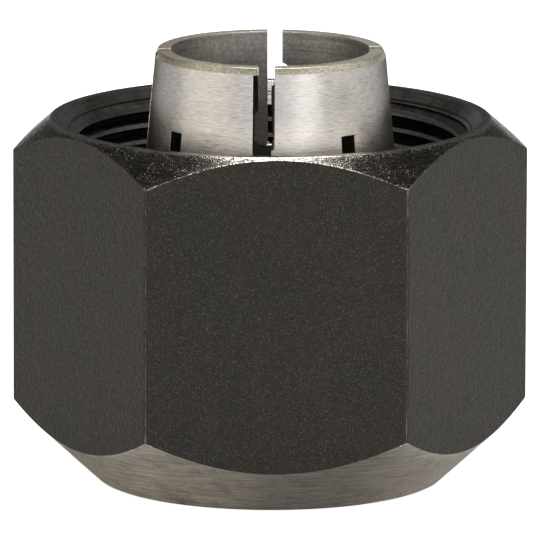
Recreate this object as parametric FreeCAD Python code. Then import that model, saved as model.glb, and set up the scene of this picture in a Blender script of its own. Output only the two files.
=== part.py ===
"""Router collet and clamping nut, in millimetres.

The nut stands on its nose face, and the spindle thread's mouth is at the top.
The origin is the centre of the nose face, and +Z is the common axis.
The collet sits loosely in the nut, narrow end up, and is held in by a snap ring.
"""
import FreeCAD
import Part
import math
import os

# Nut, outside
FLATS = 27.0                 # across the flats, the spanner size
NUT_HEIGHT = 22.0            # nose face to rim
EDGE_ROUND = 0.35            # radius along the six upright edges
MOUTH_CONE_SLOPE = 41.0      # degrees from level, cone around the mouth
NOSE_CONE_SLOPE = 42.5       # degrees from level, cone around the nose
MOUTH_RIM_R = 13.3           # outer radius of the narrow land at the mouth
NOSE_FACE_R = 10.4           # outer radius of the nose face
NOSE_EDGE_BREAK = 0.2        # chamfer where the nose face meets its cone

# Nut, inside
MOUTH_LAND = 0.56            # width of the land at the mouth
THREAD_MINOR_R = 11.46       # crests of the M24 x 1 spindle thread, which is left plain here
THREAD_RELIEF_R = 12.1       # run-out groove under the thread
THREAD_RELIEF_Z = 9.8        # floor of that groove
THREAD_RELIEF_WIDTH = 1.2
THROAT_R = 9.6               # plain bore around the collet's collar
SEAT_HALF_ANGLE = 30.0       # degrees from the axis, cone that pushes the collet
NOSE_HOLE_R = 7.4
NOSE_HOLE_CHAMFER = 0.5

# Collet
COLLET_BORE_R = 6.0          # takes a 12 mm shank
COLLET_TOP_Z = 26.2
COLLET_NOSE_Z = 0.8          # set back from the nut's nose face
TIP_R = 6.97                 # small end of the long taper, under the rim chamfer
TAPER_HALF_ANGLE = 5.25      # degrees from the axis
RIM_CHAMFER_WIDTH = 0.16
RIM_CHAMFER_HEIGHT = 0.38
BORE_CHAMFER = 0.4           # at the nose end, where the shank goes in
COLLAR_TOP_Z = 7.9
COLLAR_HEIGHT = 1.5
COLLAR_CLEARANCE = 0.35      # collar to throat, radial
SEAT_CLEARANCE = 0.12        # collet cone to nut cone, radial
NOSE_CLEARANCE = 0.3         # collet nose to nose hole, radial
RING_NECK_R = 7.7            # neck above the collar
RING_NECK_WIDTH = 1.6

# Cross cuts at the narrow end. A large saw crosses the sleeve once each way. It only nicks
# the wall on the near side and goes deep into the wall across from it.
CROSS_CUT_TURNS = (-3.7, 92.3)   # degrees from -Y to each pass's near side
SAW_WIDTH = 0.92
SAW_BESIDE = 0.03            # the saw runs this far beside the axis
SAW_R = 19.5
SAW_BEYOND = 8.0             # from the axis to the saw's centre, towards the far side
SAW_ABOVE = 12.4             # from the rim up to the saw's centre

# On the near sides a small saw as wide as the large one comes in from outside
SMALL_SAW_R = 9.0
SMALL_SAW_SPAN = 1.2         # depth on the bore, down from the rim

# A wider disc is sunk into all four walls under the rim, from outside
DISC_WIDTH = 1.11
DISC_BESIDE = -0.245         # the disc's middle against the axis
DISC_R = 5.9
DISC_DROP = 3.75             # rim down to the disc's centre
NEAR_DISC_SPAN = 2.1         # height that the disc opens on the bore
FAR_DISC_SPAN = 3.7

# On the near sides a narrower slot goes on down to a small drilled hole
RELIEF_WIDTH = 0.745
RELIEF_BESIDE = -0.105       # the slot's and the hole's middle against the axis
RELIEF_HOLE_R = 0.57
RELIEF_HOLE_DROP = 4.25      # rim down to the hole's centre

# Long cuts from the nose end, between the cross cuts
LONG_CUTS = 4
LONG_CUT_TURN = 37.8         # degrees from -Y, first long cut
LONG_CUT_WIDTH = 1.0
LONG_CUT_STOP = 4.3          # left uncut under the rim

# Snap ring
RING_INNER_R = 8.3
RING_THICKNESS = 1.0
RING_LIFT = 0.25             # free height between the collar and the ring
RING_GROOVE_R = 10.5
RING_GROOVE_PLAY = 0.1       # axial
RING_SPRING_PLAY = 0.05      # ring to the groove's floor, radial
RING_MOUTH = 5.0             # opening between the ring's ends


# Worked out
AXIS = FreeCAD.Vector(0, 0, 1)
ORIGIN = FreeCAD.Vector(0, 0, 0)
CLEAR = 1.0                  # cutters run this far past what they cut
CORNER_R = FLATS / 2 / math.cos(math.radians(30))
BAR_R = CORNER_R + CLEAR
MOUTH_R = MOUTH_RIM_R - MOUTH_LAND
COLLAR_R = THROAT_R - COLLAR_CLEARANCE
COLLAR_FOOT_Z = COLLAR_TOP_Z - COLLAR_HEIGHT
COLLET_NOSE_R = NOSE_HOLE_R - NOSE_CLEARANCE
RING_FOOT_Z = COLLAR_TOP_Z + RING_LIFT
NECK_TOP_Z = COLLAR_TOP_Z + RING_NECK_WIDTH


def tan(degrees):
    return math.tan(math.radians(degrees))


def turned(points):
    """A solid of revolution about Z from a closed outline of (radius, height) points."""
    outline = Part.makePolygon([FreeCAD.Vector(r, 0, z) for r, z in points + points[:1]])
    return Part.Face(outline).revolve(ORIGIN, AXIS, 360)


def hexagonal_bar():
    """The bar that the nut is made from, one flat facing -Y, its upright edges rounded."""
    corners = [
        FreeCAD.Vector(CORNER_R * math.sin(turn), -CORNER_R * math.cos(turn), -CLEAR)
        for turn in [math.radians(30 + 60 * corner) for corner in range(6)]
    ]
    outline = Part.Face(Part.makePolygon(corners + corners[:1]))
    bar = outline.extrude(AXIS * (NUT_HEIGHT + 2 * CLEAR))
    upright = [edge for edge in bar.Edges if abs(edge.tangentAt(edge.FirstParameter).z) > 0.9]
    return bar.makeFillet(EDGE_ROUND, upright)


def nut_blank():
    """Outside of the nut as turned: nose face, nose cone, mouth cone and land."""
    nose_cone_top = (BAR_R - NOSE_FACE_R) * tan(NOSE_CONE_SLOPE)
    mouth_cone_foot = NUT_HEIGHT - (BAR_R - MOUTH_RIM_R) * tan(MOUTH_CONE_SLOPE)
    break_top_r = NOSE_FACE_R + NOSE_EDGE_BREAK / 2
    return turned([
        (0, 0),
        (NOSE_FACE_R - NOSE_EDGE_BREAK / 2, 0),
        (break_top_r, (break_top_r - NOSE_FACE_R) * tan(NOSE_CONE_SLOPE)),
        (BAR_R, nose_cone_top),
        (BAR_R, mouth_cone_foot),
        (MOUTH_RIM_R, NUT_HEIGHT),
        (0, NUT_HEIGHT),
    ])


def nut_inside():
    """All that is bored out of the nut, from the countersunk mouth to the nose hole."""
    countersink_foot_z = NUT_HEIGHT - (MOUTH_R - THREAD_MINOR_R)
    relief_top_z = THREAD_RELIEF_Z + THREAD_RELIEF_WIDTH
    relief_slope = THREAD_RELIEF_R - THREAD_MINOR_R
    seat_foot_z = seat_height(NOSE_HOLE_R)
    return turned([
        (0, -CLEAR),
        (NOSE_HOLE_R + NOSE_HOLE_CHAMFER + CLEAR, -CLEAR),
        (NOSE_HOLE_R, NOSE_HOLE_CHAMFER),
        (NOSE_HOLE_R, seat_foot_z),
        (THROAT_R, seat_height(THROAT_R)),
        (THROAT_R, THREAD_RELIEF_Z),
        (THREAD_RELIEF_R, THREAD_RELIEF_Z),
        (THREAD_RELIEF_R, relief_top_z),
        (THREAD_MINOR_R, relief_top_z + relief_slope),
        (THREAD_MINOR_R, countersink_foot_z),
        (MOUTH_R + CLEAR, NUT_HEIGHT + CLEAR),
        (0, NUT_HEIGHT + CLEAR),
    ])


def seat_height(radius):
    """Height of the nut's inner cone at a radius. The collet's cone lies inside it."""
    return COLLAR_FOOT_Z - (COLLAR_R + SEAT_CLEARANCE - radius) / tan(SEAT_HALF_ANGLE)


def ring_groove():
    groove_top_z = RING_FOOT_Z + RING_THICKNESS + RING_GROOVE_PLAY
    return turned([
        (THROAT_R - CLEAR, RING_FOOT_Z),
        (RING_GROOVE_R, RING_FOOT_Z),
        (RING_GROOVE_R, groove_top_z),
        (THROAT_R - CLEAR, groove_top_z),
    ])


def clamping_nut():
    return hexagonal_bar().common(nut_blank()).cut([nut_inside(), ring_groove()])


def collet_blank():
    """The sleeve before it is slotted: nose, clamping cone, collar, neck and long taper."""
    taper_top_z = COLLET_TOP_Z - RIM_CHAMFER_HEIGHT
    taper_foot_r = TIP_R + (taper_top_z - NECK_TOP_Z) * tan(TAPER_HALF_ANGLE)
    cone_foot_z = COLLAR_FOOT_Z - (COLLAR_R - COLLET_NOSE_R) / tan(SEAT_HALF_ANGLE)
    return turned([
        (COLLET_BORE_R + BORE_CHAMFER, COLLET_NOSE_Z),
        (COLLET_NOSE_R, COLLET_NOSE_Z),
        (COLLET_NOSE_R, cone_foot_z),
        (COLLAR_R, COLLAR_FOOT_Z),
        (COLLAR_R, COLLAR_TOP_Z),
        (RING_NECK_R, COLLAR_TOP_Z),
        (RING_NECK_R, NECK_TOP_Z),
        (taper_foot_r, NECK_TOP_Z),
        (TIP_R, taper_top_z),
        (TIP_R - RIM_CHAMFER_WIDTH, COLLET_TOP_Z),
        (COLLET_BORE_R, COLLET_TOP_Z),
        (COLLET_BORE_R, COLLET_NOSE_Z + BORE_CHAMFER),
    ])


def disc(radius, width, beside, y, z):
    """A cutting disc that stands upright and runs along Y."""
    base = FreeCAD.Vector(beside - width / 2, y, z)
    return Part.makeCylinder(radius, width, base, FreeCAD.Vector(1, 0, 0))


def cross_saw():
    """One pass of the large saw. It nicks the -Y wall and is deep in the +Y wall."""
    return disc(SAW_R, SAW_WIDTH, SAW_BESIDE, SAW_BEYOND, COLLET_TOP_Z + SAW_ABOVE)


def small_saw():
    """The small saw in the -Y wall, its centre level with the rim."""
    centre_y = -COLLET_BORE_R - math.sqrt(SMALL_SAW_R ** 2 - SMALL_SAW_SPAN ** 2)
    return disc(SMALL_SAW_R, SAW_WIDTH, SAW_BESIDE, centre_y, COLLET_TOP_Z)


def sunk_disc(span):
    """The wide disc in the -Y wall, just deep enough to open the bore over its span."""
    centre_y = -COLLET_BORE_R - math.sqrt(DISC_R ** 2 - (span / 2) ** 2)
    return disc(DISC_R, DISC_WIDTH, DISC_BESIDE, centre_y, COLLET_TOP_Z - DISC_DROP)


def relief_slot():
    """The narrow slot in the -Y wall, with the drilled hole at its foot."""
    hole_z = COLLET_TOP_Z - RELIEF_HOLE_DROP
    inner_y = CLEAR - COLLET_BORE_R
    corner = FreeCAD.Vector(RELIEF_BESIDE - RELIEF_WIDTH / 2, inner_y - COLLAR_R, hole_z)
    slot = Part.makeBox(RELIEF_WIDTH, COLLAR_R, RELIEF_HOLE_DROP + CLEAR, corner)
    drill_start = FreeCAD.Vector(RELIEF_BESIDE, inner_y, hole_z)
    drill = Part.makeCylinder(RELIEF_HOLE_R, COLLAR_R, drill_start, FreeCAD.Vector(0, -1, 0))
    return slot.fuse(drill)


def long_cut():
    corner = FreeCAD.Vector(-LONG_CUT_WIDTH / 2, -COLLAR_R - CLEAR, COLLET_NOSE_Z - CLEAR)
    depth = COLLAR_R + CLEAR - COLLET_BORE_R / 2
    height = COLLET_TOP_Z - LONG_CUT_STOP - corner.z
    return Part.makeBox(LONG_CUT_WIDTH, depth, height, corner)


def at_turn(cutter, degrees):
    cutter.rotate(ORIGIN, AXIS, degrees)
    return cutter


def collet():
    cuts = []
    for turn in CROSS_CUT_TURNS:
        near_side = [cross_saw(), small_saw(), relief_slot(), sunk_disc(NEAR_DISC_SPAN)]
        cuts += [at_turn(cutter, turn) for cutter in near_side]
        cuts.append(at_turn(sunk_disc(FAR_DISC_SPAN), turn + 180))
    for number in range(LONG_CUTS):
        cuts.append(at_turn(long_cut(), LONG_CUT_TURN + 360 / LONG_CUTS * number))
    return collet_blank().cut(cuts)


def retaining_ring():
    """Flat spring ring, open on the +Y side."""
    outer_r = RING_GROOVE_R - RING_SPRING_PLAY
    ring = turned([
        (RING_INNER_R, RING_FOOT_Z),
        (outer_r, RING_FOOT_Z),
        (outer_r, RING_FOOT_Z + RING_THICKNESS),
        (RING_INNER_R, RING_FOOT_Z + RING_THICKNESS),
    ])
    mouth = Part.makeBox(
        RING_MOUTH, RING_GROOVE_R, RING_THICKNESS + 2 * CLEAR,
        FreeCAD.Vector(-RING_MOUTH / 2, 0, RING_FOOT_Z - CLEAR))
    return ring.cut(mouth)


PARTS = {
    "clamping_nut": clamping_nut,
    "collet": collet,
    "retaining_ring": retaining_ring,
}

os.makedirs("parts", exist_ok=True)
for name, make in PARTS.items():
    solid = make().removeSplitter()
    solid.exportStep("parts/" + name + ".step")
    box = solid.BoundBox
    print(name, solid.isValid(), len(solid.Solids), "solid", round(solid.Volume, 1), "mm3",
          "z", round(box.ZMin, 2), "to", round(box.ZMax, 2))
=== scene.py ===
"""Looks of the router collet and its clamping nut.

The pieces are modelled in millimetres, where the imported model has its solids, and each
is scaled to metres when its shape is finished. Lamps, floor and camera are in metres.
The nut's nose face stands on the floor, +Z is its axis and one flat faces -Y.
"""
import math

import bmesh
import bpy
from mathutils import Matrix, Vector


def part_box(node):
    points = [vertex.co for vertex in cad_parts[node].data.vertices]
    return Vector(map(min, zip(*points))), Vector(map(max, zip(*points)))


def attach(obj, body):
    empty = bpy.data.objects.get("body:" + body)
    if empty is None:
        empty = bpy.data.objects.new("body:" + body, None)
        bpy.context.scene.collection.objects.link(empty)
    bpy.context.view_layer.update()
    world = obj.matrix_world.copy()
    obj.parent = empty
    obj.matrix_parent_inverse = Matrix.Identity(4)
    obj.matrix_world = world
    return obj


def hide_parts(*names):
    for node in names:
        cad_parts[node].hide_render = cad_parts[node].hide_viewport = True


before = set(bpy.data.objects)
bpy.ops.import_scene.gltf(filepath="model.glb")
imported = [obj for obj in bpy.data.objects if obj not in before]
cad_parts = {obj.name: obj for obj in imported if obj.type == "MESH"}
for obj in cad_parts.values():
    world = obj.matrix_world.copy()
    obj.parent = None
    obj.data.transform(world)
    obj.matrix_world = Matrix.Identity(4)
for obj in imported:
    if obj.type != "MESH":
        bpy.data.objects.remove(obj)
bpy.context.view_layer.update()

MM = 0.001

# Nut, outside
NUT_LOW, NUT_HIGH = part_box("clamping_nut")
NUT_HEIGHT = NUT_HIGH.z / MM
FLATS = (NUT_HIGH.y - NUT_LOW.y) / MM
EDGE_ROUND = 0.35
MOUTH_CONE_SLOPE = 41.0      # degrees from level
NOSE_CONE_SLOPE = 42.5
MOUTH_RIM_R = 13.3
NOSE_FACE_R = 10.4
NOSE_EDGE_BREAK = 0.2
MOUTH_ARC_BREAK = 0.035      # worn rounding where the flats meet the mouth cone
NOSE_ARC_BREAK = 0.07
RIM_BREAK = 0.04

# Nut, inside
MOUTH_LAND = 0.56            # width of the level ring around the countersink
MOUTH_LINE_DROP = 0.62       # mouth down to the dark turned line on the countersink
THREAD_MINOR_R = 11.46
THREAD_MAJOR_R = 12.0
THREAD_PITCH = 1.0
THREAD_HALF_ANGLE = 30.0
THREAD_TURN = 69.75          # degrees from -Y where a groove comes out at the mouth
TAP_INSIDE = 0.16            # how far the tap's ridge starts inside the bore
THREAD_RELIEF_R = 12.1
THREAD_RELIEF_Z = 9.8
THREAD_RELIEF_WIDTH = 1.2
THROAT_R = 9.6
SEAT_HALF_ANGLE = 30.0
NOSE_HOLE_R = 7.4
NOSE_HOLE_CHAMFER = 0.5

# Collet
COLLET_LOW, COLLET_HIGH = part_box("collet")
COLLET_NOSE_Z = COLLET_LOW.z / MM
COLLET_TOP_Z = COLLET_HIGH.z / MM
COLLET_BORE_R = 6.0
TIP_R = 6.97
TAPER_HALF_ANGLE = 5.25
RIM_CHAMFER_WIDTH = 0.16
RIM_CHAMFER_HEIGHT = 0.38
BORE_CHAMFER = 0.4
COLLAR_TOP_Z = 7.9
COLLAR_HEIGHT = 1.5
COLLAR_R = (COLLET_HIGH.x - COLLET_LOW.x) / 2 / MM
SEAT_CLEARANCE = 0.12
COLLET_NOSE_R = 7.1
RING_NECK_R = 7.7
RING_NECK_WIDTH = 1.6
COLLET_BREAK = 0.03          # burr worn round along the cuts

# Cuts in the collet
CROSS_CUT_TURNS = (-3.7, 92.3)   # degrees from -Y to each pass's near side
SAW_WIDTH = 0.92
SAW_BESIDE = 0.03
SAW_R = 19.5
SAW_BEYOND = 8.0             # from the axis to the saw's centre, towards the far side
SAW_ABOVE = 12.4             # from the rim up to the saw's centre
SMALL_SAW_R = 9.0
SMALL_SAW_SPAN = 1.2         # depth on the bore, down from the rim
DISC_WIDTH = 1.11
DISC_BESIDE = -0.245
DISC_R = 5.9
DISC_DROP = 3.75             # rim down to the disc's centre
NEAR_DISC_SPAN = 2.1         # height that the disc opens on the bore
FAR_DISC_SPAN = 3.7
RELIEF_WIDTH = 0.745
RELIEF_BESIDE = -0.105
RELIEF_HOLE_R = 0.57
RELIEF_HOLE_DROP = 4.25
LONG_CUTS = 4
LONG_CUT_TURN = 37.8
LONG_CUT_WIDTH = 1.0
LONG_CUT_STOP = 4.3

# Snap ring
RING_LOW, RING_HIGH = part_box("retaining_ring")
RING_FOOT_Z = RING_LOW.z / MM
RING_TOP_Z = RING_HIGH.z / MM
RING_OUTER_R = (RING_HIGH.x - RING_LOW.x) / 2 / MM
RING_INNER_R = 8.3
RING_GROOVE_R = 10.5
RING_GROOVE_PLAY = 0.1       # between the ring and the upper side of its groove
RING_MOUTH = 5.0
RING_BREAK = 0.06

# Marks on the finishes
SMUDGE = (4.2, -5.8, 24.2)           # middle of the dull smudge on the taper
SCORES_FULL_Z = 21.8                 # the scores on the taper fade out between these heights
SCORES_END_Z = 23.6
NOSE_BLOTCH = (-5.9, -9.3, 0.6)      # middle of the dark blotch on the nose cone

# Camera, as fitted to the photograph
CAMERA_TURN = -1.65          # degrees from -Y
CAMERA_HEIGHT = 11.144       # degrees above level
CAMERA_ROLL = 0.156
CAMERA_DISTANCE = 0.6607
CAMERA_TARGET_Z = 0.0126
PIXELS_PER_METRE = 16531     # at the target
PHOTO_WIDTH = 540

# Floor's glow, with the distances from the axis over which metal comes to see it
GLOW = 0.8
GLOW_START = 0.15            # metres
GLOW_FULL = 0.6

# How finely round shapes are cut up
SECTORS = 240
SECTOR_TURN = 0.4            # degrees, so that no sector edge meets a corner of the hexagon
THREAD_STEPS = 120
DISC_SECTORS = 256
HOLE_SECTORS = 48

CLEAR = 1.0                  # cutters run this far past what they cut
WELD = 0.0005
UPRIGHT = 0.05               # a face whose normal rises less than this counts as upright
SHARP_ANGLE = 25.0
SMOOTH_ANGLE = 28.0
HALF_CORNER = 30.0           # degrees, half the turn from one flat to the next
CORNER_R = FLATS / 2 / math.cos(math.radians(HALF_CORNER))
MOUTH_R = MOUTH_RIM_R - MOUTH_LAND


def tan(degrees):
    return math.tan(math.radians(degrees))


# Modelling steps

def new_piece(name, finish):
    """Takes the primitive that was just added as a piece of its own, with its origin on the axis."""
    piece = bpy.context.object
    piece.name = piece.data.name = name
    bpy.ops.object.transform_apply(location=True, rotation=True, scale=True)
    piece.data.materials.append(finish)
    return piece


def edit(piece):
    bpy.ops.object.select_all(action="DESELECT")
    bpy.context.view_layer.objects.active = piece
    piece.select_set(True)
    bpy.ops.object.mode_set(mode="EDIT")
    bpy.ops.mesh.select_all(action="DESELECT")


def pick_edges(piece, wanted):
    """Selects the edges for which wanted(edge) is true, in edit mode."""
    bpy.ops.mesh.select_mode(type="EDGE")
    mesh = bmesh.from_edit_mesh(piece.data)
    for edge in mesh.edges:
        edge.select_set(wanted(edge))
    bmesh.update_edit_mesh(piece.data)


def pick_faces(piece, wanted):
    """Selects the faces for which wanted(face) is true, in edit mode."""
    bpy.ops.mesh.select_mode(type="FACE")
    mesh = bmesh.from_edit_mesh(piece.data)
    for face in mesh.faces:
        face.select_set(wanted(face))
    bmesh.update_edit_mesh(piece.data)


def apply_modifier(piece, kind, **settings):
    bpy.ops.object.select_all(action="DESELECT")
    bpy.context.view_layer.objects.active = piece
    piece.select_set(True)
    modifier = piece.modifiers.new(kind.lower(), kind)
    for setting, value in settings.items():
        setattr(modifier, setting, value)
    bpy.ops.object.modifier_apply(modifier=modifier.name)


def combine(piece, tool, operation="DIFFERENCE"):
    """Cuts or intersects the piece with a tool, which is used up. Cut faces keep the tool's finish."""
    apply_modifier(
        piece, "BOOLEAN", operation=operation, solver="EXACT", object=tool, material_mode="TRANSFER")
    bpy.data.objects.remove(tool)


def turned(name, outline, finish, closed=False):
    """A turned shape. A ring is drawn at the outline's first (radius, height) point and extruded
    from point to point. An open outline is capped at both ends, and a closed one meets its start."""
    radius, height = outline[0]
    bpy.ops.object.select_all(action="DESELECT")
    bpy.ops.mesh.primitive_circle_add(
        vertices=SECTORS, radius=radius, location=(0, 0, height),
        rotation=(0, 0, math.radians(SECTOR_TURN)))
    piece = new_piece(name, finish)
    edit(piece)
    bpy.ops.mesh.select_all(action="SELECT")
    for next_radius, next_height in outline[1:] + outline[:1] * closed:
        bpy.ops.mesh.extrude_region_move(
            TRANSFORM_OT_translate={"value": (0, 0, next_height - height)})
        share = next_radius / radius
        bpy.ops.transform.resize(value=(share, share, 1), center_override=(0, 0, next_height))
        radius, height = next_radius, next_height
    bpy.ops.mesh.select_all(action="SELECT")
    if closed:
        bpy.ops.mesh.remove_doubles(threshold=WELD)
    else:
        bpy.ops.mesh.fill_holes(sides=0)
    bpy.ops.mesh.normals_make_consistent(inside=False)
    bpy.ops.object.mode_set(mode="OBJECT")
    return piece


def box(name, low, high, finish):
    bpy.ops.object.select_all(action="DESELECT")
    size = Vector(high) - Vector(low)
    bpy.ops.mesh.primitive_cube_add(size=1, location=(Vector(low) + Vector(high)) / 2, scale=size)
    return new_piece(name, finish)


def turn_about_axis(piece, degrees):
    piece.rotation_euler.z = math.radians(degrees)
    bpy.ops.object.select_all(action="DESELECT")
    bpy.context.view_layer.objects.active = piece
    piece.select_set(True)
    bpy.ops.object.transform_apply(location=False, rotation=True, scale=False)


def slot_of(piece, finish):
    """The number of the piece's slot for a finish, which is added where there is none."""
    if finish.name not in piece.data.materials:
        piece.data.materials.append(finish)
    return piece.data.materials.find(finish.name)


def paint(piece, finish, wanted):
    """Gives the faces for which wanted(face) is true a finish of their own."""
    piece.active_material_index = slot_of(piece, finish)
    edit(piece)
    pick_faces(piece, wanted)
    bpy.ops.object.material_slot_assign()
    bpy.ops.object.mode_set(mode="OBJECT")


def round_edges(piece, width, wanted, segments=2, finish=None):
    """Rounds the edges for which wanted(edge) is true, with a finish of their own or their faces'."""
    number = slot_of(piece, finish) if finish else -1
    edit(piece)
    pick_edges(piece, wanted)
    bpy.ops.mesh.bevel(
        offset=width, segments=segments, affect="EDGES", clamp_overlap=False, miter_outer="SHARP",
        material=number)
    bpy.ops.object.mode_set(mode="OBJECT")


def finish_piece(piece, body, node):
    """Smooths the round faces, brings the piece to metres and puts it in its CAD node's place."""
    edit(piece)
    bpy.ops.mesh.select_all(action="SELECT")
    bpy.ops.mesh.dissolve_degenerate(threshold=WELD)
    bpy.ops.object.mode_set(mode="OBJECT")
    bpy.ops.object.shade_smooth_by_angle(angle=math.radians(SMOOTH_ANGLE))
    apply_modifier(piece, "WEIGHTED_NORMAL", keep_sharp=True, weight=80)
    piece.scale = (MM, MM, MM)
    bpy.ops.object.transform_apply(location=False, rotation=False, scale=True)
    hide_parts(node)
    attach(piece, body)


# Shader helpers

def put(tree, kind, values=None, **settings):
    """Adds a node. values sets or links its inputs, by name or number."""
    made = tree.nodes.new("ShaderNode" + kind)
    for setting, value in settings.items():
        setattr(made, setting, value)
    for socket, value in (values or {}).items():
        if isinstance(value, bpy.types.NodeSocket):
            tree.links.new(value, made.inputs[socket])
        else:
            made.inputs[socket].default_value = value
    return made


def calc(tree, operation, *terms, clamp=False):
    """The result of a math node on up to three terms."""
    return put(tree, "Math", dict(enumerate(terms)), operation=operation, use_clamp=clamp).outputs[0]


def fade(tree, value, start, end, low=1.0, high=0.0):
    """Goes smoothly from low at start to high at end."""
    terms = {"Value": value, "From Min": start, "From Max": end, "To Min": low, "To Max": high}
    return put(tree, "MapRange", terms, interpolation_type="SMOOTHSTEP").outputs[0]


def mix_colors(tree, share, first, second):
    made = put(tree, "Mix", data_type="RGBA")
    for number, value in ((0, share), (6, first), (7, second)):
        if isinstance(value, bpy.types.NodeSocket):
            tree.links.new(value, made.inputs[number])
        else:
            made.inputs[number].default_value = value if number == 0 else (*value, 1)
    return made.outputs[2]


def two_tone(tree, pattern, dark, light, start=0.35, end=0.65):
    """Dark where the pattern is below start and light where it is above end."""
    return mix_colors(tree, fade(tree, pattern, start, end, 0.0, 1.0), dark, light)


def noise(tree, vector, scale, detail=3.0, roughness=0.55):
    terms = {"Vector": vector, "Scale": scale, "Detail": detail, "Roughness": roughness}
    return put(tree, "TexNoise", terms).outputs[0]


def how_far(tree, point, mark):
    """How far a point is from a mark, in millimetres."""
    return put(tree, "VectorMath", {0: point, 1: mark}, operation="DISTANCE").outputs["Value"]


def new_group(name, inputs, outputs):
    """An empty node group with number inputs and outputs. Gives its tree and both ends."""
    tree = bpy.data.node_groups.new(name, "ShaderNodeTree")
    for label, value in inputs.items():
        socket = tree.interface.new_socket(label, in_out="INPUT", socket_type="NodeSocketFloat")
        socket.default_value = value
    for label in outputs:
        kind = "NodeSocketVector" if label == "Point" else "NodeSocketFloat"
        tree.interface.new_socket(label, in_out="OUTPUT", socket_type=kind)
    return tree, tree.nodes.new("NodeGroupInput").outputs, tree.nodes.new("NodeGroupOutput").inputs


def use(tree, group, **values):
    """Places a group in a material and gives its outputs. Names have _ for a space."""
    made = put(tree, "Group", node_tree=group)
    for label, value in values.items():
        socket = made.inputs[label.replace("_", " ")]
        if isinstance(value, bpy.types.NodeSocket):
            tree.links.new(value, socket)
        else:
            socket.default_value = value
    return made.outputs


# Shared effects

def place_group():
    """Where a point lies, in millimetres: its distance from the axis, height and way round."""
    tree, _, result = new_group("place", {}, ["Point", "Radius", "Height", "Across", "Deep"])
    coordinates = put(tree, "TexCoord").outputs["Object"]
    point = put(tree, "VectorMath", {0: coordinates, "Scale": 1 / MM}, operation="SCALE").outputs[0]
    parts = put(tree, "SeparateXYZ", {0: point}).outputs
    squares = calc(tree, "ADD", calc(tree, "MULTIPLY", parts[0], parts[0]),
                   calc(tree, "MULTIPLY", parts[1], parts[1]))
    radius = calc(tree, "SQRT", squares)
    found = {
        "Point": point, "Radius": radius, "Height": parts[2],
        "Across": calc(tree, "DIVIDE", parts[0], radius),
        "Deep": calc(tree, "DIVIDE", parts[1], radius),
    }
    for label, socket in found.items():
        tree.links.new(socket, result[label])
    return tree


def hexagon_group():
    """How far a point of the nut's outside lies from the nearest flat, corner and cone.
    Wear and highlight side is 1 at the flats facing -Y and +Y, whose arc lines get the most wear and
    painted highlight."""
    tree, _, result = new_group(
        "hexagon", {}, ["Flat gap", "Corner gap", "Mouth gap", "Nose gap", "Wear and highlight side"])
    place = use(tree, PLACE)
    parts = put(tree, "SeparateXYZ", {0: place["Point"]}).outputs
    sideways = calc(tree, "MULTIPLY", parts[0], math.cos(math.radians(HALF_CORNER)))
    half_y = calc(tree, "MULTIPLY", parts[1], 0.5)
    reaches = [
        calc(tree, "ABSOLUTE", parts[1]),
        calc(tree, "ABSOLUTE", calc(tree, "ADD", sideways, half_y)),
        calc(tree, "ABSOLUTE", calc(tree, "SUBTRACT", sideways, half_y)),
    ]
    farthest = calc(tree, "MAXIMUM", calc(tree, "MAXIMUM", reaches[0], reaches[1]), reaches[2])
    nearest = calc(tree, "MINIMUM", calc(tree, "MINIMUM", reaches[0], reaches[1]), reaches[2])
    mouth_drop = calc(tree, "SUBTRACT", NUT_HEIGHT, place["Height"])
    mouth_rise = calc(tree, "MULTIPLY", calc(tree, "SUBTRACT", place["Radius"], MOUTH_RIM_R),
                      tan(MOUTH_CONE_SLOPE))
    nose_rise = calc(tree, "MULTIPLY", calc(tree, "SUBTRACT", place["Radius"], NOSE_FACE_R),
                     tan(NOSE_CONE_SLOPE))
    found = {
        "Flat gap": calc(tree, "SUBTRACT", FLATS / 2, farthest),
        "Corner gap": calc(tree, "DIVIDE", nearest, math.cos(math.radians(HALF_CORNER))),
        "Mouth gap": calc(tree, "SUBTRACT", mouth_drop, mouth_rise),
        "Nose gap": calc(tree, "SUBTRACT", place["Height"], nose_rise),
        "Wear and highlight side": fade(tree, calc(tree, "ABSOLUTE", place["Across"]), 0.48, 0.54),
    }
    for label, socket in found.items():
        tree.links.new(socket, result[label])
    return tree


def turning_group():
    """Rings left by the tool. Along is the way along the outline, Broken how soon a ring ends."""
    tree, given, result = new_group(
        "turning marks", {"Along": 0, "Spacing": 0.1, "Broken": 1}, ["Rings"])
    place = use(tree, PLACE)
    vector = put(tree, "CombineXYZ", {
        0: calc(tree, "DIVIDE", given["Along"], given["Spacing"]),
        1: calc(tree, "MULTIPLY", place["Across"], given["Broken"]),
        2: calc(tree, "MULTIPLY", place["Deep"], given["Broken"]),
    }).outputs[0]
    tree.links.new(noise(tree, vector, 1.0, 4.0, 0.6), result["Rings"])
    return tree


def speck_group():
    """Small separate spots. Share of the cells hold one, and Size is against the spacing."""
    tree, given, result = new_group("specks", {"Spacing": 0.2, "Share": 0.1, "Size": 0.4}, ["Specks"])
    place = use(tree, PLACE)
    cells = put(tree, "TexVoronoi", {
        "Vector": place["Point"], "Scale": calc(tree, "DIVIDE", 1, given["Spacing"])}).outputs
    chosen = calc(tree, "LESS_THAN", put(tree, "SeparateColor", {0: cells["Color"]}).outputs[0],
                  given["Share"])
    spot = fade(tree, cells["Distance"], calc(tree, "MULTIPLY", given["Size"], 0.4), given["Size"])
    tree.links.new(calc(tree, "MULTIPLY", chosen, spot), result["Specks"])
    return tree


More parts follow.
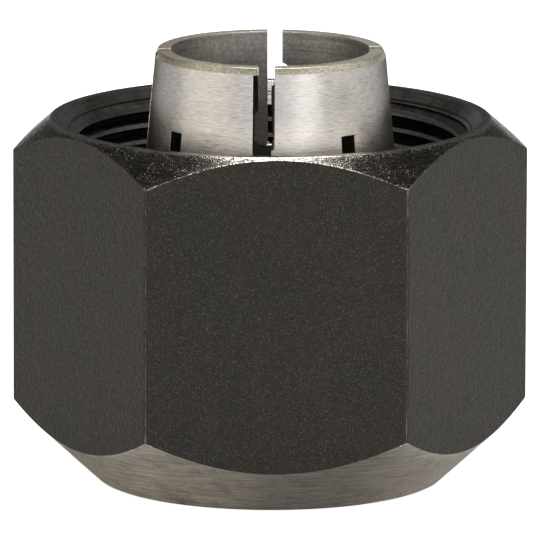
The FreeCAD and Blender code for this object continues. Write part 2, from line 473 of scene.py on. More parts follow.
def wear_group():
    """Bare metal along an edge, ragged by noise, which on the nut's arc and upright edges is also a
    painted highlight. Gap is the distance from the edge.
    """
    tree, given, result = new_group("bare edge and highlight", {"Gap": 1, "Width": 0.1, "Grain": 0.15}, ["Worn"])
    place = use(tree, PLACE)
    ragged = noise(tree, place["Point"], calc(tree, "DIVIDE", 1, given["Grain"]), 3.0, 0.7)
    reach = calc(tree, "MULTIPLY", given["Width"], fade(tree, ragged, 0.35, 0.75, 0.0, 2.0))
    bare_and_highlight = fade(tree, calc(tree, "ABSOLUTE", given["Gap"]), calc(tree, "MULTIPLY", reach, 0.3), reach)
    tree.links.new(bare_and_highlight, result["Worn"])
    return tree


PLACE = place_group()
HEXAGON = hexagon_group()
TURNING = turning_group()
SPECKS = speck_group()
WEAR = wear_group()


# Finishes

def new_finish(name):
    """A material with its Principled shader and the place group."""
    material = bpy.data.materials.new(name)
    material.use_nodes = True
    tree = material.node_tree
    return material, tree, tree.nodes["Principled BSDF"], use(tree, PLACE)


def connect(tree, shader, **inputs):
    for label, value in inputs.items():
        socket = shader.inputs[label.replace("_", " ")]
        if isinstance(value, bpy.types.NodeSocket):
            tree.links.new(value, socket)
        else:
            socket.default_value = value


def bump(tree, height, depth, strength=1.0):
    """Depth is the height of the relief in millimetres."""
    return put(tree, "Bump", {
        "Height": height, "Distance": depth * MM, "Strength": strength}).outputs[0]


def flats_finish():
    """Black oxide on the milled flats: brown and grey mottling, fine grain, thin bare-metal edge lines
    that also carry a painted highlight of their rounding.
    """
    material, tree, shader, place = new_finish("black_oxide_flats")
    hexagon = use(tree, HEXAGON)
    clouds = fade(tree, noise(tree, place["Point"], 0.3, 5.0, 0.6), 0.3, 0.7, 0.0, 1.0)
    drawn_out = put(
        tree, "VectorMath", {0: place["Point"], 1: (1, 1, 0.12)}, operation="MULTIPLY").outputs[0]
    streaks = noise(tree, drawn_out, 1.4, 3.0, 0.6)
    grain = noise(tree, place["Point"], 3.6, 2.0, 0.6)
    pits = noise(tree, place["Point"], 9.5, 2.0, 0.7)
    tones = noise(tree, place["Point"], 0.17, 4.0, 0.65)
    color = mix_colors(tree, clouds, (0.0142, 0.0142, 0.0123), (0.0184, 0.0164, 0.0137))
    color = mix_colors(tree, fade(tree, tones, 0.5, 0.64, 0.0, 0.6), color, (0.022, 0.016, 0.0138))
    color = mix_colors(tree, fade(tree, tones, 0.36, 0.5, 0.6, 0.0), color, (0.0128, 0.0143, 0.014))
    color = mix_colors(tree, fade(tree, streaks, 0.5, 0.75, 0.0, 0.5), color, (0.032, 0.024, 0.0175))
    color = mix_colors(tree, fade(tree, pits, 0.54, 0.72, 0.0, 1.0), color, (0.078, 0.075, 0.068))
    color = mix_colors(tree, fade(tree, pits, 0.28, 0.48, 1.0, 0.0), color, (0.0025, 0.0025, 0.002))
    specks = use(tree, SPECKS, Spacing=0.3, Share=0.04, Size=0.2)["Specks"]
    color = mix_colors(tree, calc(tree, "MULTIPLY", specks, 0.35), color, (0.2, 0.17, 0.14))
    arc_gap = calc(tree, "MINIMUM", hexagon["Mouth gap"], hexagon["Nose gap"])
    tip = fade(tree, hexagon["Corner gap"], 0.05, 1.0)
    arc_width = calc(tree, "MULTIPLY_ADD", tip, 0.08, 0.015)
    arc_wear_highlight = use(tree, WEAR, Gap=arc_gap, Width=arc_width, Grain=0.3)["Worn"]
    upright_width = calc(tree, "MULTIPLY_ADD", fade(tree, arc_gap, 0.1, 2.2), 0.06, 0.03)
    upright_wear_highlight = use(tree, WEAR, Gap=hexagon["Corner gap"], Width=upright_width, Grain=0.9)["Worn"]
    arc_wear_highlight = calc(tree, "MULTIPLY", arc_wear_highlight, calc(tree, "MULTIPLY_ADD", hexagon["Wear and highlight side"], 0.8, 0.3))
    bare_and_highlight = calc(tree, "MULTIPLY", calc(tree, "MAXIMUM", arc_wear_highlight, upright_wear_highlight), 0.4)
    # Paler arc and upright edge lines: bare metal through the oxide, and a painted highlight of the
    # rounded edges.
    color = mix_colors(tree, bare_and_highlight, color, (0.3, 0.27, 0.225))
    connect(
        tree, shader, Base_Color=color, Metallic=bare_and_highlight,
        Roughness=fade(tree, grain, 0.2, 0.8, 0.45, 0.6), Specular_IOR_Level=0.35,
        Specular_Tint=(1.0, 0.92, 0.8, 1.0),
        Normal=bump(tree, calc(tree, "MULTIPLY_ADD", pits, 0.3, grain), 0.066))
    return material


def cone_finish():
    """Black oxide over the turned cone at the mouth, fine rings and small bright and dark specks. Its
    arc lines are bare metal from wear, painted near white as a painted highlight of their rounding too.
    """
    material, tree, shader, place = new_finish("black_oxide_cone")
    hexagon = use(tree, HEXAGON)
    rings = use(tree, TURNING, Along=place["Radius"], Spacing=0.06, Broken=5.0)["Rings"]
    patches = noise(tree, place["Point"], 1.0, 4.0, 0.65)
    grain = noise(tree, place["Point"], 10.0, 2.0, 0.65)
    color = two_tone(tree, rings, (0.07, 0.061, 0.052), (0.17, 0.156, 0.136))
    color = mix_colors(tree, fade(tree, grain, 0.34, 0.54, 0.95, 0.0), color, (0.012, 0.01, 0.008))
    specks = use(tree, SPECKS, Spacing=0.07, Share=0.15, Size=0.5)["Specks"]
    specks = calc(tree, "MULTIPLY", specks, fade(tree, patches, 0.36, 0.6, 0.2, 1.0))
    tip = fade(tree, hexagon["Corner gap"], 0.05, 1.0)
    arc_width = calc(tree, "MULTIPLY_ADD", tip, 0.08, 0.08)
    arc_wear_highlight = use(tree, WEAR, Gap=hexagon["Flat gap"], Width=arc_width, Grain=0.14)["Worn"]
    arc_wear_highlight = calc(tree, "MULTIPLY", arc_wear_highlight, fade(tree, patches, 0.35, 0.6, 0.6, 1.0))
    arc_wear_highlight = calc(tree, "MULTIPLY", arc_wear_highlight, calc(tree, "MULTIPLY_ADD", hexagon["Wear and highlight side"], 0.7, 0.3))
    rim_gap = calc(tree, "SUBTRACT", place["Radius"], MOUTH_RIM_R)
    rim = use(tree, WEAR, Gap=rim_gap, Width=0.3, Grain=0.2)["Worn"]
    color = mix_colors(tree, specks, color, (0.8, 0.76, 0.7))
    color = mix_colors(tree, calc(tree, "MULTIPLY", rim, 0.8), color, (0.42, 0.39, 0.34))
    # Near-white arc line: bare metal through the oxide, and a painted highlight of the rounded edge.
    color = mix_colors(tree, arc_wear_highlight, color, (0.8, 0.75, 0.67))
    bare = calc(tree, "MULTIPLY", calc(tree, "MAXIMUM", arc_wear_highlight, specks), 0.42)
    rough = calc(tree, "MAXIMUM", fade(tree, patches, 0.3, 0.7, 0.16, 0.24), bare)
    relief = calc(tree, "MULTIPLY_ADD", grain, 1.2, rings)
    connect(
        tree, shader, Base_Color=color, Metallic=0.95, Roughness=rough,
        Normal=bump(tree, relief, 0.007))
    return material


def nose_finish():
    """Bare turned steel on the nose cone and face, with close rings, patches and one dark blotch.
    Painted reflection and shade make it dullest a little right of the front and brighter towards both
    sides."""
    material, tree, shader, place = new_finish("turned_nose")
    hexagon = use(tree, HEXAGON)
    rings = use(tree, TURNING, Along=place["Height"], Spacing=0.05, Broken=4.0)["Rings"]
    patches = noise(tree, place["Point"], 0.9, 5.0, 0.7)
    grain = noise(tree, place["Point"], 7.0, 2.0, 0.6)
    dull = two_tone(tree, rings, (0.25, 0.227, 0.197), (0.48, 0.45, 0.41))
    light = two_tone(tree, rings, (0.45, 0.41, 0.36), (0.84, 0.795, 0.722))
    # Painted reflection and shade: dullest a little right of the front, brighter towards both sides.
    painted_reflection_spread = calc(tree, "ABSOLUTE", calc(tree, "SUBTRACT", place["Across"], 0.2))
    color = two_tone(tree, painted_reflection_spread, dull, light, 0.1, 0.75)
    color = mix_colors(tree, fade(tree, grain, 0.35, 0.5, 0.35, 0.0), color, (0.24, 0.218, 0.19))
    color = mix_colors(tree, fade(tree, patches, 0.5, 0.66, 0.0, 0.5), color, (0.22, 0.205, 0.18))
    away = how_far(tree, place["Point"], NOSE_BLOTCH)
    uneven = fade(tree, patches, 0.4, 0.6, 0.35, 0.85)
    blotch = calc(tree, "MULTIPLY", fade(tree, away, 0.2, 1.7), uneven)
    color = mix_colors(tree, blotch, color, (0.17, 0.162, 0.145))
    tip = fade(tree, hexagon["Corner gap"], 0.05, 0.8)
    tip_width = calc(tree, "MULTIPLY", tip, 0.14)
    tips = use(tree, WEAR, Gap=hexagon["Flat gap"], Width=tip_width, Grain=0.2)["Worn"]
    color = mix_colors(tree, tips, color, (0.9, 0.86, 0.78))
    connect(
        tree, shader, Base_Color=color, Metallic=0.95,
        Roughness=fade(tree, rings, 0.3, 0.7, 0.3, 0.44), Normal=bump(tree, rings, 0.01))
    return material


def bored_finish():
    """Turned grey steel of the countersink, with a dark turned line and a painted highlight towards +X.
    """
    material, tree, shader, place = new_finish("bored_steel")
    along = calc(tree, "ADD", place["Radius"], place["Height"])
    rings = use(tree, TURNING, Along=along, Spacing=0.08, Broken=3.0)["Rings"]
    patches = noise(tree, place["Point"], 0.9, 4.0, 0.6)
    color = two_tone(tree, rings, (0.13, 0.12, 0.107), (0.3, 0.282, 0.258))
    color = mix_colors(tree, fade(tree, patches, 0.45, 0.65, 0.0, 0.7), color, (0.075, 0.065, 0.055))
    # Painted highlight: a paler patch at the +X end of the countersink.
    painted_highlight_share = fade(tree, place["Across"], 0.96, 0.995, 0.0, 0.5)
    color = mix_colors(tree, painted_highlight_share, color, (0.5, 0.475, 0.44))
    above_line = calc(tree, "SUBTRACT", place["Height"], NUT_HEIGHT - MOUTH_LINE_DROP)
    line_gap = calc(tree, "ABSOLUTE", above_line)
    color = mix_colors(tree, fade(tree, line_gap, 0.025, 0.06, 0.9, 0.0), color, (0.012, 0.011, 0.01))
    connect(
        tree, shader, Base_Color=color, Metallic=0.9,
        Roughness=fade(tree, patches, 0.3, 0.7, 0.18, 0.28), Normal=bump(tree, rings, 0.005))
    return material


def thread_finish():
    """Black oxide on the thread's flanks and roots."""
    material, tree, shader, place = new_finish("thread_flanks")
    clouds = noise(tree, place["Point"], 2.0, 4.0, 0.6)
    color = two_tone(tree, clouds, (0.006, 0.006, 0.007), (0.02, 0.018, 0.016), end=0.7)
    connect(
        tree, shader, Base_Color=color, Specular_IOR_Level=0.15,
        Roughness=fade(tree, clouds, 0.3, 0.7, 0.3, 0.5), Normal=bump(tree, clouds, 0.01))
    return material


def ground_finish():
    """Ground steel of the collet's taper: very fine level lines, a few deeper ones, scores low
    down, dull spots and a smudge. The dark specular tint dims its glancing reflections."""
    material, tree, shader, place = new_finish("ground_steel_taper")
    fine = use(tree, TURNING, Along=place["Height"], Spacing=0.05, Broken=14.0)["Rings"]
    deep = use(tree, TURNING, Along=place["Height"], Spacing=0.065, Broken=7.0)["Rings"]
    scores = use(tree, TURNING, Along=place["Height"], Spacing=0.075, Broken=1.6)["Rings"]
    low_down = fade(tree, place["Height"], SCORES_FULL_Z, SCORES_END_Z)
    scores = calc(tree, "MULTIPLY", fade(tree, scores, 0.32, 0.4), low_down)
    brown_tint = noise(tree, place["Point"], 0.5, 4.0, 0.6)
    color = two_tone(tree, fine, (0.45, 0.427, 0.402), (0.662, 0.635, 0.611), 0.32, 0.68)
    color = mix_colors(tree, fade(tree, deep, 0.28, 0.38, 0.3, 0.0), color, (0.332, 0.313, 0.29))
    color = mix_colors(tree, fade(tree, brown_tint, 0.5, 0.8, 0.0, 0.35), color, (0.387, 0.36, 0.313))
    color = mix_colors(tree, calc(tree, "MULTIPLY", scores, 0.6), color, (0.202, 0.191, 0.175))
    away = how_far(tree, place["Point"], SMUDGE)
    smudge = calc(tree, "MULTIPLY", fade(tree, away, 0.1, 1.1), fade(tree, deep, 0.35, 0.6, 0.2, 0.7))
    color = mix_colors(tree, smudge, color, (0.368, 0.345, 0.308))
    height = calc(tree, "MULTIPLY_ADD", deep, 0.6, fine)
    connect(
        tree, shader, Base_Color=color, Metallic=1.0, Specular_Tint=(0.15, 0.145, 0.137, 1.0),
        Roughness=fade(tree, fine, 0.3, 0.7, 0.27, 0.35), Normal=bump(tree, height, 0.0015))
    return material


def rim_finish():
    """Rough-turned rim of the collet, a little yellow and speckled, with brown mottling and painted
    shade towards its -X end.
    """
    material, tree, shader, place = new_finish("turned_rim")
    grain = noise(tree, place["Point"], 9.0, 3.0, 0.7)
    color = two_tone(tree, grain, (0.3, 0.27, 0.21), (0.62, 0.58, 0.49))
    brown_tint = fade(tree, noise(tree, place["Point"], 0.8, 3.0), 0.5, 0.75, 0.0, 0.5)
    # Painted shade: darker towards the -X end, on top of the brown mottling.
    brown_tint = calc(tree, "ADD", brown_tint, fade(tree, place["Across"], -0.95, -0.6, 0.5, 0.0), clamp=True)
    color = mix_colors(tree, brown_tint, color, (0.25, 0.2, 0.15))
    connect(
        tree, shader, Base_Color=color, Metallic=0.9,
        Roughness=fade(tree, grain, 0.3, 0.7, 0.4, 0.55), Normal=bump(tree, grain, 0.012))
    return material


def bore_finish():
    """Reamed bore of the collet, grey with level marks."""
    material, tree, shader, place = new_finish("reamed_bore")
    rings = use(tree, TURNING, Along=place["Height"], Spacing=0.13, Broken=0.6)["Rings"]
    grain = noise(tree, place["Point"], 5.0, 3.0, 0.7)
    color = two_tone(tree, grain, (0.5, 0.48, 0.45), (0.72, 0.7, 0.665))
    color = mix_colors(tree, fade(tree, rings, 0.34, 0.46, 0.6, 0.0), color, (0.36, 0.345, 0.32))
    connect(
        tree, shader, Base_Color=color, Metallic=1.0,
        Roughness=fade(tree, rings, 0.3, 0.7, 0.31, 0.4), Normal=bump(tree, rings, 0.003))
    return material


def bare_finish():
    """Bare steel of the saw cuts and of the thread crests, dull and finely lined."""
    material, tree, shader, place = new_finish("bare_steel")
    grain = noise(tree, place["Point"], 6.0, 3.0, 0.65)
    color = two_tone(tree, grain, (0.42, 0.4, 0.37), (0.7, 0.68, 0.64))
    connect(
        tree, shader, Base_Color=color, Metallic=0.9, Roughness=0.5, Normal=bump(tree, grain, 0.008))
    return material


def burr_finish():
    """Bright metal along the edges of the collet's cuts."""
    material, tree, shader, place = new_finish("bright_burr")
    ragged = noise(tree, place["Point"], 2.5, 3.0, 0.6)
    color = two_tone(tree, ragged, (0.5, 0.48, 0.44), (0.92, 0.9, 0.86), 0.4, 0.6)
    connect(tree, shader, Base_Color=color, Metallic=1.0, Roughness=0.4)
    return material


def slot_finish():
    """Black oxide left in the collet's cuts, neck and collar."""
    material, tree, shader, place = new_finish("black_oxide_cuts")
    clouds = noise(tree, place["Point"], 2.2, 4.0, 0.6)
    color = two_tone(tree, clouds, (0.012, 0.011, 0.012), (0.045, 0.04, 0.036), end=0.7)
    connect(
        tree, shader, Base_Color=color, Metallic=0.5,
        Roughness=fade(tree, clouds, 0.3, 0.7, 0.38, 0.55), Normal=bump(tree, clouds, 0.015))
    return material


def spring_finish():
    """Phosphated spring steel of the snap ring."""
    material, tree, shader, place = new_finish("phosphated_spring")
    grain = noise(tree, place["Point"], 7.0, 4.0, 0.65)
    color = two_tone(tree, grain, (0.045, 0.043, 0.04), (0.13, 0.122, 0.11))
    connect(
        tree, shader, Base_Color=color, Metallic=0.7,
        Roughness=fade(tree, grain, 0.3, 0.7, 0.4, 0.6), Normal=bump(tree, grain, 0.01))
    return material


FLATS_BLACK = flats_finish()
CONE_BLACK = cone_finish()
NOSE_STEEL = nose_finish()
BORED_STEEL = bored_finish()
THREAD_BLACK = thread_finish()
GROUND_STEEL = ground_finish()
RIM_STEEL = rim_finish()
BORE_STEEL = bore_finish()
BARE_STEEL = bare_finish()
BURR_STEEL = burr_finish()
CUT_BLACK = slot_finish()
SPRING_STEEL = spring_finish()


# Nut

def hexagonal_bar():
    """The bar that the nut is made from, one flat facing -Y, its upright edges rounded."""
    bpy.ops.object.select_all(action="DESELECT")
    bpy.ops.mesh.primitive_cylinder_add(
        vertices=6, radius=CORNER_R, depth=NUT_HEIGHT + 2 * CLEAR,
        location=(0, 0, NUT_HEIGHT / 2), rotation=(0, 0, math.radians(HALF_CORNER)))
    bar = new_piece("hexagon_nut", FLATS_BLACK)
    round_edges(
        bar, EDGE_ROUND * tan(HALF_CORNER),
        lambda edge: abs(edge.verts[0].co.z - edge.verts[1].co.z) > CLEAR, segments=7)
    return bar


def nut_blank():
    """Outside of the nut as turned."""
    bar_r = CORNER_R + CLEAR
    break_top_r = NOSE_FACE_R + NOSE_EDGE_BREAK / 2
    blank = turned("blank", [
        (NOSE_FACE_R - NOSE_EDGE_BREAK / 2, 0),
        (break_top_r, (break_top_r - NOSE_FACE_R) * tan(NOSE_CONE_SLOPE)),
        (bar_r, (bar_r - NOSE_FACE_R) * tan(NOSE_CONE_SLOPE)),
        (bar_r, NUT_HEIGHT - (bar_r - MOUTH_RIM_R) * tan(MOUTH_CONE_SLOPE)),
        (MOUTH_RIM_R, NUT_HEIGHT),
    ], CONE_BLACK)
    paint(blank, NOSE_STEEL, lambda face: face.calc_center_median().z < NUT_HEIGHT / 2)
    return blank


def nut_inside():
    """All that is bored out of the nut, from the nose hole to the countersunk mouth."""
    relief_top_z = THREAD_RELIEF_Z + THREAD_RELIEF_WIDTH
    seat_top_z = seat_height(THROAT_R)
    inside = turned("inside", [
        (NOSE_HOLE_R + NOSE_HOLE_CHAMFER + CLEAR, -CLEAR),
        (NOSE_HOLE_R, NOSE_HOLE_CHAMFER),
        (NOSE_HOLE_R, seat_height(NOSE_HOLE_R)),
        (THROAT_R, seat_top_z),
        (THROAT_R, THREAD_RELIEF_Z),
        (THREAD_RELIEF_R, THREAD_RELIEF_Z),
        (THREAD_RELIEF_R, relief_top_z),
        (THREAD_MINOR_R, relief_top_z + THREAD_RELIEF_R - THREAD_MINOR_R),
        (THREAD_MINOR_R, NUT_HEIGHT - (MOUTH_R - THREAD_MINOR_R)),
        (MOUTH_R + CLEAR, NUT_HEIGHT + CLEAR),
    ], BORED_STEEL)
    paint(inside, BARE_STEEL, lambda face: all(
        abs(v.co.xy.length - THREAD_MINOR_R) < WELD for v in face.verts))
    return inside


def seat_height(radius):
    """Height of the nut's seat cone at a radius."""
    collar_foot_z = COLLAR_TOP_Z - COLLAR_HEIGHT
    return collar_foot_z - (COLLAR_R + SEAT_CLEARANCE - radius) / tan(SEAT_HALF_ANGLE)


def ring_groove():
    groove_top_z = RING_TOP_Z + RING_GROOVE_PLAY
    return turned("groove", [
        (THROAT_R - CLEAR, RING_FOOT_Z),
        (RING_GROOVE_R, RING_FOOT_Z),
        (RING_GROOVE_R, groove_top_z),
        (THROAT_R - CLEAR, groove_top_z),
    ], THREAD_BLACK, closed=True)


def thread_tap():
    """The ridge that cuts the spindle thread: one section, wound up from the run-out groove
    past the mouth. It is right-handed."""
    start_z = THREAD_RELIEF_Z + THREAD_RELIEF_WIDTH / 2
    inner_r = THREAD_MINOR_R - TAP_INSIDE
    root_width = THREAD_PITCH / 8
    foot_width = root_width + 2 * (THREAD_MAJOR_R - inner_r) * tan(THREAD_HALF_ANGLE)
    bpy.ops.object.select_all(action="DESELECT")
    bpy.ops.mesh.primitive_plane_add(
        size=1, location=((inner_r + THREAD_MAJOR_R) / 2, 0, start_z),
        rotation=(math.radians(90), 0, 0))
    tap = new_piece("tap", THREAD_BLACK)
    edit(tap)
    bpy.ops.mesh.select_all(action="SELECT")
    bpy.ops.transform.resize(
        value=(THREAD_MAJOR_R - inner_r, 1, root_width),
        center_override=((inner_r + THREAD_MAJOR_R) / 2, 0, start_z))
    pick_edges(tap, lambda edge: all(v.co.x < inner_r + WELD for v in edge.verts))
    bpy.ops.transform.resize(
        value=(1, 1, foot_width / root_width), center_override=(inner_r, 0, start_z))
    bpy.ops.mesh.select_all(action="SELECT")
    bpy.ops.mesh.delete(type="ONLY_FACE")
    bpy.ops.object.mode_set(mode="OBJECT")
    turns = math.ceil((NUT_HEIGHT + CLEAR - start_z) / THREAD_PITCH)
    apply_modifier(
        tap, "SCREW", steps=THREAD_STEPS, render_steps=THREAD_STEPS, angle=math.radians(360),
        screw_offset=THREAD_PITCH, iterations=turns)
    edit(tap)
    bpy.ops.mesh.select_all(action="SELECT")
    bpy.ops.mesh.fill_holes(sides=4)
    bpy.ops.mesh.normals_make_consistent(inside=False)
    bpy.ops.object.mode_set(mode="OBJECT")
    wound = (start_z - NUT_HEIGHT) / THREAD_PITCH * 360
    turn_about_axis(tap, THREAD_TURN - 90 + wound)
    return tap


def is_arc(edge):
    """Where a flat or an upright edge of the hexagon meets a cone."""
    if len(edge.link_faces) != 2:
        return False
    slopes = sorted(abs(face.normal.z) for face in edge.link_faces)
    low_r = min(v.co.xy.length for v in edge.verts)
    return slopes[0] < UPRIGHT < slopes[1] and low_r > FLATS / 2 - WELD


def is_high(edge):
    return edge.verts[0].co.z > NUT_HEIGHT / 2


def is_rim(edge):
    """Both edges of the land at the mouth."""
    first, second = edge.verts
    level = abs(first.co.z - second.co.z) < WELD
    same_r = abs(first.co.xy.length - second.co.xy.length) < WELD
    return level and same_r and abs(first.co.z - NUT_HEIGHT) < WELD


def make_nut():
    nut = hexagonal_bar()
    combine(nut, nut_blank(), "INTERSECT")
    round_edges(nut, MOUTH_ARC_BREAK, lambda edge: is_arc(edge) and is_high(edge))
    round_edges(nut, NOSE_ARC_BREAK, lambda edge: is_arc(edge) and not is_high(edge))
    combine(nut, nut_inside())
    combine(nut, ring_groove())
    round_edges(nut, RIM_BREAK, is_rim)
    combine(nut, thread_tap())
    finish_piece(nut, "nut_body", "clamping_nut")


# Collet

def collet_blank():
    """The sleeve before it is slotted."""
    collar_foot_z = COLLAR_TOP_Z - COLLAR_HEIGHT
    neck_top_z = COLLAR_TOP_Z + RING_NECK_WIDTH
    taper_top_z = COLLET_TOP_Z - RIM_CHAMFER_HEIGHT
    taper_foot_r = TIP_R + (taper_top_z - neck_top_z) * tan(TAPER_HALF_ANGLE)
    blank = turned("slotted_collet", [
        (COLLET_BORE_R + BORE_CHAMFER, COLLET_NOSE_Z),
        (COLLET_NOSE_R, COLLET_NOSE_Z),
        (COLLET_NOSE_R, collar_foot_z - (COLLAR_R - COLLET_NOSE_R) / tan(SEAT_HALF_ANGLE)),
        (COLLAR_R, collar_foot_z),
        (COLLAR_R, COLLAR_TOP_Z),
        (RING_NECK_R, COLLAR_TOP_Z),
        (RING_NECK_R, neck_top_z),
        (taper_foot_r, neck_top_z),
        (TIP_R, taper_top_z),
        (TIP_R - RIM_CHAMFER_WIDTH, COLLET_TOP_Z),
        (COLLET_BORE_R, COLLET_TOP_Z),
        (COLLET_BORE_R, COLLET_NOSE_Z + BORE_CHAMFER),
    ], GROUND_STEEL, closed=True)
    paint(blank, RIM_STEEL, lambda face: face.calc_center_median().z > taper_top_z)
    paint(blank, BORE_STEEL, lambda face: face.normal.dot(face.calc_center_median()) < 0
          and abs(face.normal.z) < UPRIGHT)
    paint(blank, CUT_BLACK, lambda face: face.calc_center_median().z < neck_top_z + WELD
          and face.normal.xy.dot(face.calc_center_median().xy) > -WELD)
    return blank


def disc(name, radius, width, place, finish):
    """A cutting disc that stands upright and runs along Y."""
    bpy.ops.object.select_all(action="DESELECT")
    bpy.ops.mesh.primitive_cylinder_add(
        vertices=DISC_SECTORS, radius=radius, depth=width, location=place,
        rotation=(0, math.radians(90), 0))
    return new_piece(name, finish)


def cross_saw():
    """One pass of the large saw. It nicks the -Y wall and is deep in the +Y wall."""
    place = (SAW_BESIDE, SAW_BEYOND, COLLET_TOP_Z + SAW_ABOVE)
    return disc("saw", SAW_R, SAW_WIDTH, place, BARE_STEEL)


def small_saw():
    """The small saw in the -Y wall, its centre level with the rim. The cut's floor is black."""
    centre_y = -COLLET_BORE_R - math.sqrt(SMALL_SAW_R ** 2 - SMALL_SAW_SPAN ** 2)
    saw = disc("small_saw", SMALL_SAW_R, SAW_WIDTH, (SAW_BESIDE, centre_y, COLLET_TOP_Z), BARE_STEEL)
    paint(saw, CUT_BLACK, lambda face: abs(face.normal.x) < 0.5)
    return saw


def wide_disc(span):
    """The wide disc in the -Y wall, just deep enough to open the bore over its span."""
    centre_y = -COLLET_BORE_R - math.sqrt(DISC_R ** 2 - (span / 2) ** 2)
    place = (DISC_BESIDE, centre_y, COLLET_TOP_Z - DISC_DROP)
    return disc("wide_disc", DISC_R, DISC_WIDTH, place, CUT_BLACK)


def near_disc():
    return wide_disc(NEAR_DISC_SPAN)


def far_disc():
    return wide_disc(FAR_DISC_SPAN)


def relief_slot():
    """The narrow slot in the -Y wall."""
    low = (RELIEF_BESIDE - RELIEF_WIDTH / 2, -COLLAR_R, COLLET_TOP_Z - RELIEF_HOLE_DROP)
    high = (RELIEF_BESIDE + RELIEF_WIDTH / 2, CLEAR - COLLET_BORE_R, COLLET_TOP_Z + CLEAR)
    return box("relief_slot", low, high, BARE_STEEL)


def relief_hole():
    """The drilled hole at the slot's foot."""
    bpy.ops.object.select_all(action="DESELECT")
    bpy.ops.mesh.primitive_cylinder_add(
        vertices=HOLE_SECTORS, radius=RELIEF_HOLE_R, depth=COLLAR_R, rotation=(math.radians(90), 0, 0),
        location=(RELIEF_BESIDE, CLEAR - COLLET_BORE_R - COLLAR_R / 2, COLLET_TOP_Z - RELIEF_HOLE_DROP))
    return new_piece("relief_hole", CUT_BLACK)


def long_cut():
    low = (-LONG_CUT_WIDTH / 2, -COLLAR_R - CLEAR, COLLET_NOSE_Z - CLEAR)
    high = (LONG_CUT_WIDTH / 2, -COLLET_BORE_R / 2, COLLET_TOP_Z - LONG_CUT_STOP)
    return box("long_cut", low, high, CUT_BLACK)


def make_collet():
    collet = collet_blank()
    cuts = [(long_cut, LONG_CUT_TURN + 360 / LONG_CUTS * number) for number in range(LONG_CUTS)]
    for turn in CROSS_CUT_TURNS:
        near_side = [cross_saw, relief_slot, small_saw, relief_hole, near_disc]
        cuts += [(make_cutter, turn) for make_cutter in near_side] + [(far_disc, turn + 180)]
    for make_cutter, turn in cuts:
        cutter = make_cutter()
        turn_about_axis(cutter, turn)
        combine(collet, cutter)
    round_edges(collet, COLLET_BREAK, lambda edge: is_sharp(edge) and is_cut(edge), 1, BURR_STEEL)
    round_edges(collet, COLLET_BREAK, lambda edge: is_sharp(edge) and not is_cut(edge), 1)
    finish_piece(collet, "collet_body", "collet")


def is_sharp(edge):
    return edge.is_manifold and edge.calc_face_angle() > math.radians(SHARP_ANGLE)


def is_cut(edge):
    """Where a cut meets the turned outside or the bore, which have other finishes."""
    first, second = edge.link_faces
    low_z, high_z = sorted(v.co.z for v in edge.verts)
    on_rim = high_z - low_z < WELD and high_z > COLLET_TOP_Z - RIM_CHAMFER_HEIGHT - WELD
    return first.material_index != second.material_index and not on_rim


# Snap ring

def make_ring():
    """Flat spring ring, open on the +Y side."""
    ring = turned("snap_ring", [
        (RING_INNER_R, RING_FOOT_Z), (RING_OUTER_R, RING_FOOT_Z),
        (RING_OUTER_R, RING_TOP_Z), (RING_INNER_R, RING_TOP_Z),
    ], SPRING_STEEL, closed=True)
    mouth = box(
        "mouth", (-RING_MOUTH / 2, 0, RING_FOOT_Z - CLEAR),
        (RING_MOUTH / 2, RING_OUTER_R + CLEAR, RING_TOP_Z + CLEAR), SPRING_STEEL)
    combine(ring, mouth)
    round_edges(ring, RING_BREAK, is_sharp)
    finish_piece(ring, "nut_body", "retaining_ring")


# Stage

def make_floor():
    """Pale floor that the camera and the metal see as white. Near the object the lamps alone make
    it white for the metal, so that its reflection keeps the shadow."""
    bpy.ops.object.select_all(action="DESELECT")
    bpy.ops.mesh.primitive_plane_add(size=6)
    floor = bpy.context.object
    floor.name = "floor"
    material = bpy.data.materials.new("pale_floor")
    material.use_nodes = True
    tree = material.node_tree
    shader = tree.nodes["Principled BSDF"]
    connect(tree, shader, Base_Color=(0.86, 0.86, 0.86, 1), Roughness=0.9, Specular_IOR_Level=0.1)
    rays = put(tree, "LightPath").outputs
    point = put(tree, "TexCoord").outputs["Object"]
    reach = put(tree, "VectorMath", {0: point}, operation="LENGTH").outputs["Value"]
    mirrored = calc(tree, "ADD", rays["Is Glossy Ray"], rays["Is Transmission Ray"], clamp=True)
    far_off = fade(tree, reach, GLOW_START, GLOW_FULL, 0.0, 1.0)
    mirrored = calc(tree, "MULTIPLY", mirrored, far_off)
    seen = calc(tree, "ADD", rays["Is Camera Ray"], mirrored, clamp=True)
    seen = calc(tree, "MULTIPLY", seen, GLOW)
    glow = put(tree, "Emission", {"Color": (1, 1, 1, 1), "Strength": seen})
    both = put(tree, "AddShader", {0: shader.outputs[0], 1: glow.outputs[0]})
    tree.links.new(both.outputs[0], tree.nodes["Material Output"].inputs["Surface"])
    floor.data.materials.append(material)


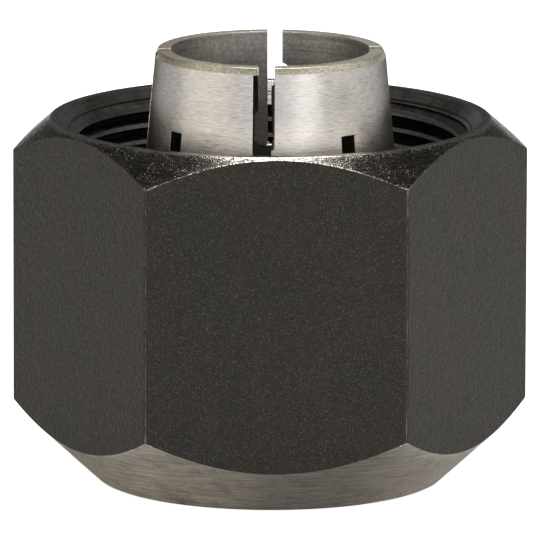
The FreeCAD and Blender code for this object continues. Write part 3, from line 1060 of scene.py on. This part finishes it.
def make_lamp(name, turn, height, distance, size, brightness, tint=(1, 1, 1)):
    """A soft square lamp that looks at the object. Turn is in degrees from -Y towards +X."""
    lamp = bpy.data.lights.new(name, "AREA")
    lamp.shape = "RECTANGLE"
    lamp.size, lamp.size_y = size
    lamp.energy = brightness * math.pi * size[0] * size[1]
    lamp.color = tint
    holder = bpy.data.objects.new(name, lamp)
    bpy.context.collection.objects.link(holder)
    away = direction(turn, height)
    target = Vector((0, 0, CAMERA_TARGET_Z))
    holder.location = target + away * distance
    holder.rotation_euler = away.to_track_quat("Z", "Y").to_euler()


def direction(turn, height):
    turn, height = math.radians(turn), math.radians(height)
    return Vector((
        math.sin(turn) * math.cos(height), -math.cos(turn) * math.cos(height), math.sin(height)))


def make_lights():
    world = bpy.data.worlds.new("studio")
    world.use_nodes = True
    world.node_tree.nodes["Background"].inputs["Color"].default_value = (1, 1, 1, 1)
    world.node_tree.nodes["Background"].inputs["Strength"].default_value = 0.09
    bpy.context.scene.world = world
    make_lamp("top_lamp", 164, 80, 0.4, (0.17, 0.2), 14.0)
    make_lamp("front_lamp", -8, 8, 0.9, (0.95, 0.45), 0.98)
    make_lamp("right_lamp", 34, 13, 0.7, (0.34, 0.5), 2.05)
    make_lamp("far_right_lamp", 78, 20, 0.7, (0.6, 0.36), 1.9, (1, 0.96, 0.91))
    make_lamp("left_lamp", -67, 16, 0.7, (0.74, 0.5), 1.28, (1, 0.945, 0.825))


def make_camera():
    camera = bpy.data.cameras.new("camera")
    holder = bpy.data.objects.new("camera", camera)
    bpy.context.collection.objects.link(holder)
    away = direction(CAMERA_TURN, CAMERA_HEIGHT)
    holder.location = Vector((0, 0, CAMERA_TARGET_Z)) + away * CAMERA_DISTANCE
    roll = Matrix.Rotation(math.radians(CAMERA_ROLL), 4, "Z")
    holder.rotation_euler = (away.to_track_quat("Z", "Y").to_matrix().to_4x4() @ roll).to_euler()
    camera.lens = camera.sensor_width / PHOTO_WIDTH * PIXELS_PER_METRE * CAMERA_DISTANCE
    camera.clip_start = 0.01
    bpy.context.scene.camera = holder


make_nut()
make_collet()
make_ring()
make_floor()
make_lights()
make_camera()
bpy.context.scene.view_settings.view_transform = "Standard"
